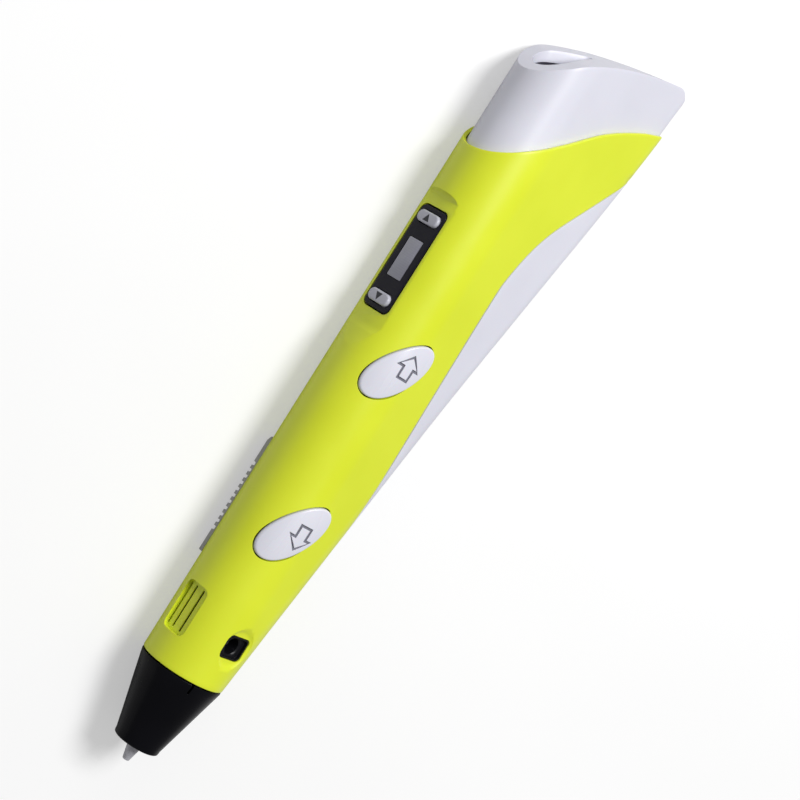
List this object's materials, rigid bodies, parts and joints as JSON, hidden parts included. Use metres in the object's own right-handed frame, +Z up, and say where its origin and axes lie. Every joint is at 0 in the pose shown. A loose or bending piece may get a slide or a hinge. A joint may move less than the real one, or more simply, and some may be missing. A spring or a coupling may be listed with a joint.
{
  "type": "3d drawing pen",
  "caption": "Handheld filament drawing pen: round body with a keel at the tail, black nose cone and nozzle, display, oval keys and a ridged speed slider.",
  "frame": {"origin": "bottom centre of the bounding box; the pen lies on its flank with the two oval buttons up", "axes": "+X runs from the nozzle tip to the tail; +Z is up; the display faces +Y and up; the keel is towards -Y"},
  "size_m": [0.1824, 0.0446, 0.0202],
  "materials": {
    "black_plastic": "glossy black heat-resistant plastic",
    "brass": "bare brass",
    "ceramic": "light grey ceramic nozzle, slightly rough",
    "circuit_green": "green circuit board",
    "frame_grey": "dark grey moulded plastic",
    "insulation": "amber insulating film",
    "key_grey": "silver-grey painted keys",
    "panel_black": "black bezel, slightly glossy",
    "steel": "bare steel",
    "tube_white": "white slippery plastic tube",
    "white_plastic": "smooth satin-gloss moulded plastic",
    "window_grey": "grey display window, unlit",
    "yellow_plastic": "smooth satin-gloss moulded plastic"
  },
  "bodies": {
    "case": {"back_cover": "white_plastic", "chassis_screw_front": "steel", "chassis_screw_rear": "steel", "control_board": "circuit_green", "controller_chip": "frame_grey", "display_board": "circuit_green", "display_module": "window_grey", "display_panel": "panel_black", "display_window": "window_grey", "fan_housing": "frame_grey", "feed_chassis": "frame_grey", "feed_switch": "steel", "feed_tube": "tube_white", "filament_funnel": "white_plastic", "filament_guide_tube": "tube_white", "front_cover": "yellow_plastic", "gearbox_case": "brass", "heat_break_tube": "steel", "heater_core": "steel", "idler_pivot_pin": "steel", "insulation_sleeve": "insulation", "motor_can": "steel", "motor_driver_chip": "frame_grey", "motor_end_cap": "black_plastic", "motor_terminal_a": "brass", "motor_terminal_b": "brass", "nose_cone": "black_plastic", "nozzle": "ceramic", "nozzle_holder": "frame_grey", "power_pin": "steel", "power_socket": "black_plastic", "retract_switch": "steel", "slide_potentiometer": "frame_grey", "temp_down_switch": "steel", "temp_up_switch": "steel", "thermistor": "insulation"},
    "retract_button": {"retract_button": "white_plastic", "retract_plunger": "black_plastic"},
    "feed_button": {"feed_button": "white_plastic", "feed_plunger": "black_plastic"},
    "temp_up_button": {"temp_up_button": "key_grey"},
    "temp_down_button": {"temp_down_button": "key_grey"},
    "speed_slider": {"speed_slider": "white_plastic", "slide_wiper": "steel"},
    "fan_rotor": {"fan_rotor": "black_plastic"},
    "drive_worm": {"drive_worm": "steel"},
    "feed_gear": {"feed_gear": "brass", "feed_shaft": "steel"},
    "idler_arm": {"idler_arm": "frame_grey", "idler_axle": "steel"},
    "idler_bearing": {"idler_bearing": "steel"}
  },
  "joints": [
    {"name": "retract_button_press", "type": "slide", "parent": "case", "child": "retract_button", "axis": [0, 0.0482, -0.9988], "range_m": [0, 0.0005], "stiffness_N_per_m": 800, "springref_m": -0.0002},
    {"name": "feed_button_press", "type": "slide", "parent": "case", "child": "feed_button", "axis": [0, 0.0046, -1], "range_m": [0, 0.0005], "stiffness_N_per_m": 800, "springref_m": -0.0002},
    {"name": "temp_up_button_press", "type": "slide", "parent": "case", "child": "temp_up_button", "axis": [0, -0.9772, -0.2124], "range_m": [0, 0.0003], "stiffness_N_per_m": 600, "springref_m": -0.0002},
    {"name": "temp_down_button_press", "type": "slide", "parent": "case", "child": "temp_down_button", "axis": [0, -0.9772, -0.2124], "range_m": [0, 0.0003], "stiffness_N_per_m": 600, "springref_m": -0.0002},
    {"name": "speed_slide", "type": "slide", "parent": "case", "child": "speed_slider", "axis": [1, 0, 0], "range_m": [-0.004, 0.004]},
    {"name": "fan_spin", "type": "hinge", "parent": "case", "child": "fan_rotor", "pos_m": [-0.05645, 0.01751, 0.01088], "axis": [0, 0.9772, 0.2124], "continuous": true},
    {"name": "worm_spin", "type": "hinge", "parent": "case", "child": "drive_worm", "pos_m": [0.00085, 0.00446, 0.00805], "axis": [1, 0, 0], "continuous": true},
    {"name": "feed_gear_spin", "type": "hinge", "parent": "case", "child": "feed_gear", "pos_m": [0.00085, 0.00871, 0.00897], "axis": [0, -0.2124, 0.9772], "continuous": true},
    {"name": "idler_swing", "type": "hinge", "parent": "case", "child": "idler_arm", "pos_m": [0.00825, 0.0177, 0.01093], "axis": [0, -0.2124, 0.9772], "range_deg": [-5, 0], "stiffness_Nm_per_rad": 0.02, "springref_deg": 2.86},
    {"name": "idler_bearing_spin", "type": "hinge", "parent": "idler_arm", "child": "idler_bearing", "pos_m": [0.00085, 0.01611, 0.01058], "axis": [0, -0.2124, 0.9772], "continuous": true}
  ],
  "couplings": [
    {"joint": "feed_gear_spin", "follows": "worm_spin", "ratio": -0.083333}
  ]
}
